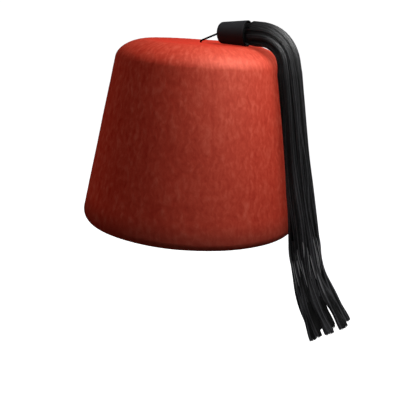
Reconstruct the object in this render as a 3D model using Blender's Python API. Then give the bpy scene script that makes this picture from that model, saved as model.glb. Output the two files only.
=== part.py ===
"""A six-inch felt fez with a long black tassel laid over its shoulder.

The crown is one blocked felt shell, open below. A cord knotted inside comes up through the middle of the
flat tip and runs into a wound cap. The cap grips a thick skirt of thread, which lies on the tip, bends over
the shoulder, follows the side down past the rim and parts there into eight locks round a ninth.

Metres, +Z up. The origin is the middle of the head opening, in the plane of the rim.
"""

import math

import bmesh
import bpy
from mathutils import Vector

# Crown, outside sizes
RIM_DIAMETER = 0.190
SHOULDER_DIAMETER = 0.1426
TIP_DIAMETER = 0.096
CROWN_HEIGHT = 0.1525
SHOULDER_DROP = 0.018
TIP_EDGE_ANGLE = math.radians(9.5)
HEM_RADIUS = 0.0083
HEM_ANGLE = math.radians(31)
FELT_THICKNESS = 0.0025

# Cord from the middle of the tip to the cap
CORD_DIAMETER = 0.0014
KNOT_DIAMETER = 0.005
CORD_BEND_RADIUS = 0.0012
CORD_RISE = 0.0012
CORD_IN_CAP = 0.003

# Cap, a slightly flared drum lying on the tip
CAP_START = 0.0174
CAP_LENGTH = 0.0258
CAP_CLOSED_DIAMETER = 0.0176
CAP_EDGE_RADIUS = 0.0035
CAP_LIP = 0.0012
CAP_SOCKET_DEPTH = 0.006

# Skirt, measured across its lobes
SKIRT_DIAMETER = 0.0208
SKIRT_RIM_DIAMETER = 0.0270
NECK_PINCH = 0.0016
NECK_SWELL_LENGTH = 0.004
BEND_RADIUS = 0.026
BEND_SQUEEZE = 0.08
MOUTH_BEND_RADIUS = 0.060
FLICK_BEND_RADIUS = 0.150
FLICK_ANGLE = math.radians(31)
KNEE_DROP = 0.030
BELOW_KNEE_LENGTH = 0.054
FRINGE_LENGTH = 0.074
FLUTE_DEPTH = 0.0011
LOBE_POWER = 2.4
SKIRT_TWIST = math.radians(34)
FIRST_LOCK_ANGLE = math.radians(8)
LOCK_WIDTH = 0.0100
LOCK_DEPTH = 0.0074
LOCK_GAP = 0.0006
FRINGE_RADIUS = 0.0160

# How far along the fringe the locks are fully parted, and how far along they are fully oval
PARTED_BY = 0.15
OVAL_BY = 0.5
OVAL_LOBE_ANGLE = math.radians(115)

# The ninth lock, inside the others
CORE_SHARE = 0.5
CORE_LENGTH_SHARE = 0.95

# Where the tassel lies, round the crown from +X towards +Y
TASSEL_HEADING = math.radians(-28)

# Clear space between pieces that rest on each other
SEAT_GAP = 0.0003

# How finely round shapes are cut
CROWN_SIDES = 80
SHOULDER_STEPS = 8
HEM_STEPS = 4
CAP_SIDES = 32
CAP_EDGE_STEPS = 4
CORD_SIDES = 10
KNOT_STEPS = 6
LOBE_STEPS = 5
STEPS_PER_BEND = 8
SKIRT_SPACING = 0.0085
CORD_SPACING = 0.002
FRINGE_RINGS = 13

# One row for each outer lock, round the skirt: how much of the fringe's length it has, how wide it is against
# LOCK_WIDTH, and how far it leans out against FRINGE_RADIUS
LOCKS = (
    {"length": 0.95, "width": 1.00, "lean": 0.98},
    {"length": 0.98, "width": 0.94, "lean": 1.03},
    {"length": 0.96, "width": 1.04, "lean": 0.97},
    {"length": 1.00, "width": 1.08, "lean": 1.06},
    {"length": 0.95, "width": 0.98, "lean": 0.98},
    {"length": 0.94, "width": 0.95, "lean": 1.03},
    {"length": 0.95, "width": 1.00, "lean": 1.07},
    {"length": 0.93, "width": 0.98, "lean": 1.00},
)

RIM_RADIUS = RIM_DIAMETER / 2
SHOULDER_RADIUS = SHOULDER_DIAMETER / 2
TIP_RADIUS = TIP_DIAMETER / 2
CORD_HOLE_RADIUS = CORD_DIAMETER / 2 + SEAT_GAP
NECK_RADIUS = SKIRT_DIAMETER / 2 - NECK_PINCH
NECK_LENGTH = CAP_SOCKET_DEPTH - SEAT_GAP
CAP_SOCKET_RADIUS = NECK_RADIUS + SEAT_GAP
CAP_MOUTH_RADIUS = CAP_SOCKET_RADIUS + CAP_LIP
CAP_CLOSED_RADIUS = CAP_CLOSED_DIAMETER / 2
SHOULDER_HEIGHT = CROWN_HEIGHT - SHOULDER_DROP
LYING_HEIGHT = CROWN_HEIGHT + SEAT_GAP + SKIRT_DIAMETER / 2


def smooth_step(share):
    """0 below 0, 1 above 1, and an even S between."""
    share = min(max(share, 0.0), 1.0)
    return share * share * (3 - 2 * share)


def mix(low, high, share):
    return low + (high - low) * share


# Crown


def shoulder_ellipse():
    """(middle, half width, half height, last turn) of the ellipse whose arc is the shoulder's section.

    The arc starts at the widest point and stops where it meets the flat tip at TIP_EDGE_ANGLE.
    """
    width = SHOULDER_RADIUS - TIP_RADIUS
    ratio = math.tan(TIP_EDGE_ANGLE) * width / SHOULDER_DROP
    last_turn = math.acos(ratio / (1 - ratio))
    half_width = width / (1 - math.cos(last_turn))
    middle = Vector((SHOULDER_RADIUS - half_width, SHOULDER_HEIGHT))
    return middle, half_width, SHOULDER_DROP / math.sin(last_turn), last_turn


def shoulder_point(turn):
    """(point, outward normal) of the shoulder at a turn of its ellipse, 0 at the widest point."""
    middle, half_width, half_height, _ = shoulder_ellipse()
    point = middle + Vector((half_width * math.cos(turn), half_height * math.sin(turn)))
    return point, Vector((math.cos(turn) / half_width, math.sin(turn) / half_height)).normalized()


def hem_middle():
    """The middle of the arc that rounds the rim's outer edge."""
    return Vector((RIM_RADIUS - HEM_RADIUS, HEM_RADIUS * math.sin(HEM_ANGLE)))


def side_slope():
    """(lean from upright, turn where it starts) of a straight side that runs smoothly into shoulder and hem."""
    _, half_width, half_height, _ = shoulder_ellipse()
    slope = 0.0
    for _ in range(6):
        turn = math.atan(half_height / half_width * math.tan(slope))
        across = shoulder_point(turn)[0] - hem_middle()
        slope = math.asin(HEM_RADIUS / across.length) - math.atan2(across.x, across.y)
    return slope, turn


def crown_profile():
    """(radius, height) points of the felt's closed section: down the outside, across the rim, up the inside."""
    slope, first_turn = side_slope()
    last_turn = shoulder_ellipse()[3]
    outer = [(Vector((CORD_HOLE_RADIUS, CROWN_HEIGHT)), Vector((0, 1)))]
    for step in range(SHOULDER_STEPS + 1):
        outer.append(shoulder_point(mix(last_turn, first_turn, step / SHOULDER_STEPS)))
    for step in range(HEM_STEPS + 1):
        turn = mix(slope, -HEM_ANGLE, step / HEM_STEPS)
        normal = Vector((math.cos(turn), math.sin(turn)))
        outer.append((hem_middle() + HEM_RADIUS * normal, normal))
    inner = [point - normal * FELT_THICKNESS for point, normal in outer]
    above_rim = inner[-1]
    rim_inside = Vector((above_rim.x - above_rim.y * math.tan(HEM_ANGLE), 0))
    return [point for point, _ in outer] + [rim_inside] + inner[::-1]


def crown_radius_at(height):
    """The crown's outside radius on its straight side, carried on as a straight line above and below."""
    slope, turn = side_slope()
    top, _ = shoulder_point(turn)
    return top.x + (top.y - height) * math.tan(slope)


def build_crown():
    """The felt shell, turned round the upright axis from one closed section."""
    mesh = bmesh.new()
    profile = crown_profile()
    points = [mesh.verts.new((point.x, 0, point.y)) for point in profile]
    edges = [mesh.edges.new((a, b)) for a, b in zip(points, points[1:] + points[:1])]
    turn_round(mesh, points + edges, Vector((0, 0, 0)), Vector((0, 0, 1)), CROWN_SIDES)
    return mesh


# Tassel, in its own upright plane: x out from the crown's axis, z up


def cap_tilt():
    """The cap's axis rises towards its wider mouth, because the cap lies on its side."""
    return math.asin((CAP_MOUTH_RADIUS - CAP_CLOSED_RADIUS) / CAP_LENGTH)


def cap_axis():
    """(middle of the closed end, direction towards the mouth) in the tassel's plane."""
    tilt = cap_tilt()
    start = Vector((CAP_START, 0, CROWN_HEIGHT + SEAT_GAP + CAP_CLOSED_RADIUS * math.cos(tilt)))
    return start, Vector((math.cos(tilt), 0, math.sin(tilt)))


def cap_profile():
    """(radius, distance along the axis) from the cord's hole, over the outside, to the end of the socket."""
    profile = [
        (0, CORD_IN_CAP + SEAT_GAP),
        (CORD_HOLE_RADIUS, CORD_IN_CAP + SEAT_GAP),
        (CORD_HOLE_RADIUS, 0),
    ]
    for step in range(CAP_EDGE_STEPS + 1):
        turn = math.pi / 2 * step / CAP_EDGE_STEPS
        profile.append((
            CAP_CLOSED_RADIUS - CAP_EDGE_RADIUS * (1 - math.sin(turn)),
            CAP_EDGE_RADIUS * (1 - math.cos(turn)),
        ))
    return profile + [
        (CAP_MOUTH_RADIUS, CAP_LENGTH - CAP_LIP / 2),
        (CAP_MOUTH_RADIUS - CAP_LIP / 4, CAP_LENGTH),
        (CAP_SOCKET_RADIUS, CAP_LENGTH),
        (CAP_SOCKET_RADIUS, CAP_LENGTH - CAP_SOCKET_DEPTH),
        (0, CAP_LENGTH - CAP_SOCKET_DEPTH),
    ]


def build_cap():
    """The drum that grips the skirt: a blind hole for the cord at one end, a socket for the skirt at the other."""
    mesh = bmesh.new()
    start, along = cap_axis()
    across = Vector((-along.z, 0, along.x))
    points = [mesh.verts.new(start + across * radius + along * distance) for radius, distance in cap_profile()]
    edges = [mesh.edges.new((a, b)) for a, b in zip(points, points[1:])]
    turn_round(mesh, points + edges, start, along, CAP_SIDES)
    return mesh


def filleted_route(corners, radii, spacing):
    """Points along straight runs joined by arcs: one radius for each inner corner, no two further than spacing."""
    stops = [corners[0]]
    route = [corners[0]]
    for before, corner, after, radius in zip(corners, corners[1:], corners[2:], radii):
        arriving = (corner - before).normalized()
        leaving = (after - corner).normalized()
        turn = arriving.angle(leaving)
        setback = radius * math.tan(turn / 2)
        first = corner - arriving * setback
        last = corner + leaving * setback
        route += straight(stops[-1], first, spacing)
        inward = (leaving - arriving * arriving.dot(leaving)).normalized()
        steps = max(2, math.ceil(STEPS_PER_BEND * turn / (math.pi / 2)))
        for step in range(1, steps + 1):
            angle = turn * step / steps
            reach = radius * (arriving * math.sin(angle) + inward * (1 - math.cos(angle)))
            route.append(first + reach)
        stops.append(last)
    return route + straight(stops[-1], corners[-1], spacing)


def straight(start, end, spacing):
    """Points after start, up to end, no further apart than spacing."""
    steps = max(1, math.ceil((end - start).length / spacing))
    return [start.lerp(end, step / steps) for step in range(1, steps + 1)]


def lengths_along(route):
    """The length of the route up to each of its points."""
    lengths = [0.0]
    for a, b in zip(route, route[1:]):
        lengths.append(lengths[-1] + (b - a).length)
    return lengths


def outward_normals(route):
    """At each point, the unit vector square to the route, in the tassel's plane and away from the crown."""
    normals = []
    for index in range(len(route)):
        along = route[min(index + 1, len(route) - 1)] - route[max(index - 1, 0)]
        normals.append(Vector((-along.z, 0, along.x)).normalized())
    return normals


def skirt_corners():
    """The corners of the skirt's middle line, from inside the cap to the tips, worked out from what it lies on."""
    start, along = cap_axis()
    neck = start + along * (CAP_LENGTH - NECK_LENGTH)
    mouth = start + along * max(CAP_LENGTH, (LYING_HEIGHT - start.z) / along.z)
    upper = beside_crown(SHOULDER_HEIGHT)
    lower = beside_crown(hem_middle().y)
    down = (lower - upper).normalized()
    shoulder = upper + down * ((mouth.z - upper.z) / down.z)
    knee = lower + down * ((-KNEE_DROP - lower.z) / down.z)
    tips = knee + BELOW_KNEE_LENGTH * Vector((math.sin(FLICK_ANGLE), 0, -math.cos(FLICK_ANGLE)))
    return [neck, mouth, shoulder, knee, tips]


def beside_crown(height):
    """Where the skirt's middle line passes a height, resting on the crown's side."""
    slope, _ = side_slope()
    reach = (hanging_radius(height) + SEAT_GAP) / math.cos(slope)
    return Vector((crown_radius_at(height) + reach, 0, height))


def hanging_radius(height):
    """The skirt's outside radius at a height. It is squeezed in the bend, and widens faster and faster below."""
    bent = (LYING_HEIGHT - height) / (LYING_HEIGHT - SHOULDER_HEIGHT)
    squeeze = 1 - BEND_SQUEEZE * max(4 * bent * (1 - bent), 0.0)
    hanging = max(SHOULDER_HEIGHT - height, 0.0) / SHOULDER_HEIGHT
    return squeeze * mix(SKIRT_DIAMETER, SKIRT_RIM_DIAMETER, hanging ** 2) / 2


def swell(length):
    """How far the skirt has swelled, a length along it: 0 inside the cap, 1 a little past its mouth."""
    return smooth_step((length - NECK_LENGTH) / NECK_SWELL_LENGTH)


def twist_at(length, total):
    """The angle of the flute before the first lock, a length along the skirt's middle line."""
    return FIRST_LOCK_ANGLE + SKIRT_TWIST * length / total


def lobe_radius(radius, share, flute):
    """The outside radius a share of the way across one lobe, lowest in the flutes on its two sides."""
    return radius - flute * abs(2 * share - 1) ** LOBE_POWER


def skirt_ring(centre, normal, radius, twist, flute):
    """Points round the fused skirt, LOBE_STEPS to a lock, starting in the flute before the first lock."""
    side = Vector((0, 1, 0))
    ring = []
    for lock in range(len(LOCKS)):
        for step in range(LOBE_STEPS):
            share = step / LOBE_STEPS
            angle = twist + 2 * math.pi * (lock + share) / len(LOCKS)
            reach = lobe_radius(radius, share, flute)
            ring.append(centre + reach * (normal * math.cos(angle) + side * math.sin(angle)))
    return ring


def lock_ring(centre, normal, twist, lock, share, split_radius):
    """The section of one outer lock below the split: its piece of the skirt, which becomes a leaning oval."""
    side = Vector((0, 1, 0))
    row = LOCKS[lock]
    half_sector = math.pi / len(LOCKS)
    middle = twist + half_sector * (2 * lock + 1)
    outward = normal * math.cos(middle) + side * math.sin(middle)
    around = side * math.cos(middle) - normal * math.sin(middle)
    first_reach = split_radius * (1 + CORE_SHARE) / 2
    reach = mix(first_reach, FRINGE_RADIUS * row["lean"], mix(share, smooth_step(share), 0.5))
    width = min(LOCK_WIDTH * row["width"], 2 * reach * math.tan(half_sector) - LOCK_GAP)
    gap_share = LOCK_GAP / LOCK_DEPTH * smooth_step(share / PARTED_BY)
    ring = []
    for out, across in sector_points(split_radius, half_sector):
        sector = Vector((out - first_reach, across)) * (1 - gap_share)
        angle = oval_angle(len(ring))
        oval = Vector((LOCK_DEPTH / 2 * math.cos(angle), width / 2 * math.sin(angle)))
        point = sector.lerp(oval, smooth_step(share / OVAL_BY))
        ring.append(centre + outward * (reach + point.x) + around * point.y)
    return ring


def sector_points(radius, half_sector):
    """(out, across) round one lock's piece of the skirt: its lobe from flute to flute, then the core's side."""
    points = []
    for step in range(LOBE_STEPS + 1):
        share = step / LOBE_STEPS
        angle = half_sector * (2 * share - 1)
        reach = lobe_radius(radius, share, FLUTE_DEPTH)
        points.append((reach * math.cos(angle), reach * math.sin(angle)))
    out, across = points[-1]
    return points + [(out * CORE_SHARE, across * CORE_SHARE), (out * CORE_SHARE, -across * CORE_SHARE)]


def oval_angle(index):
    """Where each point of a sector goes on the oval: the lobe takes the outer side, the rest the inner."""
    if index <= LOBE_STEPS:
        return mix(-OVAL_LOBE_ANGLE, OVAL_LOBE_ANGLE, index / LOBE_STEPS)
    return mix(OVAL_LOBE_ANGLE, 2 * math.pi - OVAL_LOBE_ANGLE, (index - LOBE_STEPS) / 3)


def build_skirt():
    """The thick skirt of thread: fluted and fused from the cap to the rim, then parted into its locks."""
    mesh = bmesh.new()
    bend_radii = (MOUTH_BEND_RADIUS, BEND_RADIUS, FLICK_BEND_RADIUS)
    route = filleted_route(skirt_corners(), bend_radii, SKIRT_SPACING)
    total = lengths_along(route)[-1]
    split_length = total - FRINGE_LENGTH
    fused = [(point, length) for point, length in zip(route, lengths_along(route))
             if length < split_length - SKIRT_SPACING / 2]
    fused.append((point_at(route, split_length), split_length))
    normals = outward_normals([point for point, _ in fused])
    rings = []
    for (centre, length), normal in zip(fused, normals):
        radius = mix(NECK_RADIUS, hanging_radius(centre.z), swell(length))
        places = skirt_ring(centre, normal, radius, twist_at(length, total), FLUTE_DEPTH * swell(length))
        rings.append([mesh.verts.new(place) for place in places])
    for first, second in zip(rings, rings[1:]):
        bridge(mesh, first, second)
    mesh.faces.new(rings[0][::-1])
    add_locks(mesh, rings[-1], route, split_length, total)
    return mesh


def add_locks(mesh, last_ring, route, split_length, total):
    """Carries each lock on from the skirt's last ring. Neighbours share only the line where they part."""
    centre = point_at(route, split_length)
    split_radius = hanging_radius(centre.z)
    flutes = [last_ring[lock * LOBE_STEPS].co for lock in range(len(LOCKS))]
    core = [mesh.verts.new(centre.lerp(flute, CORE_SHARE)) for flute in flutes]
    above_outer = []
    for lock in range(len(LOCKS)):
        lobe = [last_ring[(lock * LOBE_STEPS + step) % len(last_ring)] for step in range(LOBE_STEPS + 1)]
        above_outer.append(lobe + [core[(lock + 1) % len(LOCKS)], core[lock]])
    above_core = core
    for ring_number in range(1, FRINGE_RINGS + 1):
        for lock, row in enumerate(LOCKS):
            share = ring_number / FRINGE_RINGS * row["length"]
            point, normal, twist = fringe_place(route, split_length, share, total)
            places = lock_ring(point, normal, twist, lock, share, split_radius)
            below = [mesh.verts.new(place) for place in places]
            bridge(mesh, above_outer[lock], below)
            above_outer[lock] = below
        share = ring_number / FRINGE_RINGS * CORE_LENGTH_SHARE
        point, normal, twist = fringe_place(route, split_length, share, total)
        core_radius = CORE_SHARE * (split_radius - FLUTE_DEPTH) - LOCK_GAP * smooth_step(share / PARTED_BY)
        below = round_ring(mesh, point, normal, core_radius, len(LOCKS), twist)
        bridge(mesh, above_core, below)
        above_core = below
    for last in above_outer + [above_core]:
        mesh.faces.new(last)


def fringe_place(route, split_length, share, total):
    """(point, outward normal, twist) on the skirt's middle line, a share of the fringe below the split."""
    length = split_length + share * FRINGE_LENGTH
    behind = point_at(route, length - SKIRT_SPACING / 4)
    ahead = point_at(route, length + SKIRT_SPACING / 4)
    normal = outward_normals([behind, ahead])[0]
    return point_at(route, length), normal, twist_at(length, total)


def point_at(route, wanted):
    """The point a wanted length along the route."""
    for a, b, length in zip(route, route[1:], lengths_along(route)[1:]):
        if length >= wanted:
            return b.lerp(a, (length - wanted) / (b - a).length)
    return route[-1]


def build_cord():
    """The thin cord: a knot under the tip, up through the felt, over to the cap and a little way into it."""
    mesh = bmesh.new()
    cap_end, along = cap_axis()
    knot_radius = KNOT_DIAMETER / 2
    knot_top = CROWN_HEIGHT - FELT_THICKNESS - SEAT_GAP
    knot_middle = knot_top - knot_radius
    corner = Vector((0, 0, CROWN_HEIGHT + CORD_RISE))
    route = filleted_route(
        [Vector((0, 0, knot_top)), corner, cap_end, cap_end + along * CORD_IN_CAP],
        (CORD_BEND_RADIUS, CORD_BEND_RADIUS),
        CORD_SPACING,
    )
    first_turn = math.asin(CORD_DIAMETER / KNOT_DIAMETER)
    circles = []
    for step in range(KNOT_STEPS):
        turn = mix(math.pi - math.pi / 2 / KNOT_STEPS, first_turn, step / (KNOT_STEPS - 1))
        centre = Vector((0, 0, knot_middle + knot_radius * math.cos(turn)))
        circles.append((centre, Vector((-1, 0, 0)), knot_radius * math.sin(turn)))
    for centre, normal in zip(route[1:], outward_normals(route)[1:]):
        circles.append((centre, normal, CORD_DIAMETER / 2))
    rings = [round_ring(mesh, centre, normal, radius, CORD_SIDES) for centre, normal, radius in circles]
    for first, second in zip(rings, rings[1:]):
        bridge(mesh, first, second)
    mesh.faces.new(rings[0][::-1])
    mesh.faces.new(rings[-1])
    return mesh


# Mesh helpers


def round_ring(mesh, centre, normal, radius, sides, first_angle=0.0):
    """New vertices on a circle square to the route."""
    side = Vector((0, 1, 0))
    angles = [first_angle + 2 * math.pi * index / sides for index in range(sides)]
    return [mesh.verts.new(centre + radius * (normal * math.cos(a) + side * math.sin(a))) for a in angles]


def bridge(mesh, first, second):
    """Faces between two closed rings of as many vertices."""
    for index in range(len(first)):
        after = (index + 1) % len(first)
        mesh.faces.new((first[index], first[after], second[after], second[index]))


def turn_round(mesh, section, centre, axis, sides):
    """Spins a section once round an axis and welds where it meets itself and the axis."""
    bmesh.ops.spin(
        mesh, geom=section, cent=centre, axis=axis, angle=2 * math.pi, steps=sides, use_merge=True
    )
    bmesh.ops.remove_doubles(mesh, verts=mesh.verts, dist=SEAT_GAP / 100)


def new_material(name, colour, roughness):
    material = bpy.data.materials.new(name)
    material.use_nodes = True
    shader = material.node_tree.nodes["Principled BSDF"]
    shader.inputs["Base Color"].default_value = (*colour, 1)
    shader.inputs["Roughness"].default_value = roughness
    material.diffuse_color = (*colour, 1)
    return material


def new_piece(name, mesh, material, parent=None):
    """One named object from a finished mesh."""
    bmesh.ops.recalc_face_normals(mesh, faces=mesh.faces)
    data = bpy.data.meshes.new(name)
    mesh.to_mesh(data)
    mesh.free()
    data.materials.append(material)
    data.shade_smooth()
    data.set_sharp_from_angle(angle=math.radians(40))
    piece = bpy.data.objects.new(name, data)
    bpy.context.scene.collection.objects.link(piece)
    piece.parent = parent
    return piece


def main():
    """Builds the hat in an emptied scene, with the tassel's pieces under one empty that turns them."""
    for old in list(bpy.data.objects):
        bpy.data.objects.remove(old)
    felt = new_material("wool_felt", (0.42, 0.035, 0.018), 0.95)
    cord_thread = new_material("cord_thread", (0.010, 0.010, 0.010), 0.7)
    wound_thread = new_material("wound_thread", (0.012, 0.012, 0.012), 0.45)
    loose_thread = new_material("loose_thread", (0.014, 0.014, 0.014), 0.5)

    tassel = bpy.data.objects.new("tassel", None)
    tassel.rotation_euler.z = TASSEL_HEADING
    bpy.context.scene.collection.objects.link(tassel)

    new_piece("crown", build_crown(), felt)
    new_piece("tassel_cord", build_cord(), cord_thread, tassel)
    new_piece("tassel_cap", build_cap(), wound_thread, tassel)
    new_piece("tassel_skirt", build_skirt(), loose_thread, tassel)


main()
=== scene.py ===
"""Looks of a red felt fez with a long black tassel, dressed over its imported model.

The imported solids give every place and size. This script lays the felt, the cord, the wound cap and the
threads of the tassel over them, and adds the floor, the lights and the camera.

Metres, +Z up. The tassel is built in its own upright plane, x out from the crown's axis and z up, and
is then turned to its heading.
"""

import logging
import math
from dataclasses import dataclass, field
from enum import Enum

import bpy
import numpy as np
from mathutils import Matrix, Vector, noise


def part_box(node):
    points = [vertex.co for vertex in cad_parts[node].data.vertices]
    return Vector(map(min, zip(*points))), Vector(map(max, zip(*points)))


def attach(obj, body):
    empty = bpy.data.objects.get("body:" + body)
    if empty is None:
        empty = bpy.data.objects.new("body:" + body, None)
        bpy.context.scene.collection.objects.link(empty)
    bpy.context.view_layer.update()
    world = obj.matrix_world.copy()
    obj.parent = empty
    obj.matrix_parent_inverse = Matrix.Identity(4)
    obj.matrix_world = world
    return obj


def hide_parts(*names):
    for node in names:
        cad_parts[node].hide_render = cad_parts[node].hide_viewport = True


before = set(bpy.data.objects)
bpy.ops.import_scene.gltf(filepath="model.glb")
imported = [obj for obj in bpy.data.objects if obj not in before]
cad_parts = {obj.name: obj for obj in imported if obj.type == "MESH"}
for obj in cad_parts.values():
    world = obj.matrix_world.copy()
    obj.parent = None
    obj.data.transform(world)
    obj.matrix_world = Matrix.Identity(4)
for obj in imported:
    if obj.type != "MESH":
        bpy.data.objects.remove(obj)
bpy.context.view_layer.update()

BODY = "root"
MM = 0.001
SIDE = np.array([0.0, 1.0, 0.0])
UP = np.array([0.0, 0.0, 1.0])

log = logging.getLogger("fez")


class Part(Enum):
    """The record's material slots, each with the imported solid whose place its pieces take."""

    FELT = ("felt", "crown")
    CORD = ("cord_thread", "tassel_cord")
    CAP = ("cap_thread", "tassel_cap")
    TASSEL = ("tassel_thread", "tassel_skirt")


# Small helpers


def linear(hex_colour: str) -> tuple[float, float, float, float]:
    """Turns an sRGB hex colour to linear light.

    Args:
        hex_colour: six hex digits, red first.

    Returns:
        Red, green, blue and an alpha of 1.
    """
    parts = [int(hex_colour[i:i + 2], 16) / 255 for i in (0, 2, 4)]
    light = [c / 12.92 if c <= 0.04045 else ((c + 0.055) / 1.055) ** 2.4 for c in parts]
    return light[0], light[1], light[2], 1.0


def new_material(name: str) -> tuple[bpy.types.Material, bpy.types.NodeTree, bpy.types.Node]:
    """Makes a finish with nothing set on it.

    Args:
        name: what it is and how its surface was made.

    Returns:
        The finish, its node tree and its shader.
    """
    made = bpy.data.materials.new(name)
    made.use_nodes = True
    return made, made.node_tree, made.node_tree.nodes["Principled BSDF"]


def feed(node: bpy.types.Node, inputs: dict) -> None:
    """Sets or links a node's inputs.

    Args:
        node: the node.
        inputs: by input name or number, a value, a socket, or a node whose first output is taken.
    """
    for name, value in inputs.items():
        if isinstance(value, bpy.types.Node):
            value = value.outputs[0]
        if isinstance(value, bpy.types.NodeSocket):
            node.id_data.links.new(value, node.inputs[name])
        else:
            node.inputs[name].default_value = value


def add_node(tree: bpy.types.NodeTree, kind: str, inputs: dict, **settings: object) -> bpy.types.Node:
    """Adds one node, with its settings and links.

    Args:
        tree: the node tree it goes into.
        kind: the node's type name.
        inputs: what sets or feeds its inputs.
        settings: the node's own properties.

    Returns:
        The new node.
    """
    node = tree.nodes.new(kind)
    for name, value in settings.items():
        setattr(node, name, value)
    feed(node, inputs)
    return node


def set_ramp(node: bpy.types.Node, stops: dict[float, str]) -> None:
    """Gives a colour ramp its stops.

    Args:
        node: the ramp.
        stops: the sRGB hex colour at each position, in order.
    """
    ramp = node.color_ramp
    while len(ramp.elements) < len(stops):
        ramp.elements.new(0.5)
    for element, (position, colour) in zip(ramp.elements, stops.items()):
        element.position = position
        element.color = linear(colour)


def smooth_step(share: np.ndarray) -> np.ndarray:
    """0 below 0, 1 above 1, and an even S between."""
    share = np.clip(share, 0.0, 1.0)
    return share * share * (3 - 2 * share)


def mix(low: float, high: float, share: float) -> float:
    """The value a share of the way from low to high."""
    return low + (high - low) * share


def run_along(line: np.ndarray) -> np.ndarray:
    """How far along a line each of its points lies."""
    return np.concatenate([[0.0], np.cumsum(np.linalg.norm(np.diff(line, axis=0), axis=1))])


def ring_turns(count: int) -> np.ndarray:
    """The turns of points spaced evenly round a ring."""
    return np.linspace(0, 2 * math.pi, count, endpoint=False)


def turned(first: np.ndarray, second: np.ndarray, turn: np.ndarray) -> np.ndarray:
    """One direction for each turn, from a first axis at 0 towards a second at a quarter turn."""
    return first * np.cos(turn)[..., None] + second * np.sin(turn)[..., None]


def revolved(section: np.ndarray, turns: np.ndarray) -> np.ndarray:
    """A ring of points round the upright axis for each row of a section of radii and heights."""
    radius, height = section[:, :1], np.repeat(section[:, 1:], len(turns), 1)
    return np.stack([radius * np.cos(turns), radius * np.sin(turns), height], -1)


def tube_rings(
    path: np.ndarray, first: np.ndarray, second: np.ndarray, radius: float | np.ndarray, sides: int,
    start: float = 0.0,
) -> np.ndarray:
    """Rings of points round a path.

    Args:
        path: the path's points.
        first: the direction of a ring's first axis at each point.
        second: the same for its second axis, or one for all.
        radius: the radius, or one for each point.
        sides: how many points a ring has.
        start: the turn of its first point.

    Returns:
        The points, ring by ring.
    """
    out = turned(first[:, None, :], second[..., None, :], start + ring_turns(sides))
    return path[:, None, :] + out * np.broadcast_to(radius, len(path))[:, None, None]


def grid_faces(rings: int, sides: int, first: int = 0, loop: bool = False) -> np.ndarray:
    """Quads between rings of as many points, each ring closed.

    Args:
        rings: how many rings.
        sides: how many points each has.
        first: the number of the first point.
        loop: whether the last ring is joined to the first.

    Returns:
        One row of four point numbers for each quad.
    """
    ring, side = np.meshgrid(np.arange(rings if loop else rings - 1), np.arange(sides), indexing="ij")
    ring_after, side_after = (ring + 1) % rings, (side + 1) % sides
    corners = ((ring, side), (ring, side_after), (ring_after, side_after), (ring_after, side))
    return np.stack([r * sides + s for r, s in corners], -1).reshape(-1, 4) + first


def link_object(name: str, data: bpy.types.ID) -> bpy.types.Object:
    """Puts a new object into the scene.

    Args:
        name: its name.
        data: its mesh, light or camera.

    Returns:
        The object.
    """
    made = bpy.data.objects.new(name, data)
    bpy.context.scene.collection.objects.link(made)
    return made


@dataclass
class MeshParts:
    """Points and faces of one piece while it is put together."""

    points: list[np.ndarray] = field(default_factory=list)
    faces: list[list[int]] = field(default_factory=list)
    tones: list[np.ndarray] = field(default_factory=list)
    count: int = 0

    def add_tube(self, rings: np.ndarray, caps: bool = True, tone: float | np.ndarray = 0.5) -> None:
        """Adds a closed skin through rings of points.

        Args:
            rings: ring by ring, side by side, the points.
            caps: whether the two ends are closed.
            tone: how light its thread is, 0 to 1, throughout or ring by ring.
        """
        number, sides = rings.shape[:2]
        self.faces += grid_faces(number, sides, self.count).tolist()
        if caps:
            last = self.count + (number - 1) * sides
            self.faces.append(list(range(self.count, self.count + sides))[::-1])
            self.faces.append(list(range(last, last + sides)))
        self.points.append(rings.reshape(-1, 3))
        self.tones.append(np.repeat(np.broadcast_to(tone, number), sides).astype(np.float32))
        self.count += number * sides

    def piece(
        self, name: str, material: bpy.types.Material, part: Part, sharp: float = 60.0
    ) -> bpy.types.Object:
        """Makes the object, which rides on the hat and takes its solid's place.

        Args:
            name: the piece's name.
            material: its finish.
            part: what it is a piece of.
            sharp: the angle in degrees beyond which an edge is sharp.

        Returns:
            The new object.
        """
        mesh = bpy.data.meshes.new(name)
        mesh.from_pydata(np.concatenate(self.points), [], self.faces)
        mesh.update()
        mesh.materials.append(material)
        mesh.shade_smooth()
        mesh.set_sharp_from_angle(angle=math.radians(sharp))
        if self.tones:
            tone = mesh.attributes.new("tone", "FLOAT", "POINT")
            tone.data.foreach_set("value", np.concatenate(self.tones))
        made = link_object(name, mesh)
        slot, solid = part.value
        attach(made, BODY)
        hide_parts(solid)
        log.info("%s: %d faces", name, len(self.faces))
        return made


# Finishes


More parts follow.
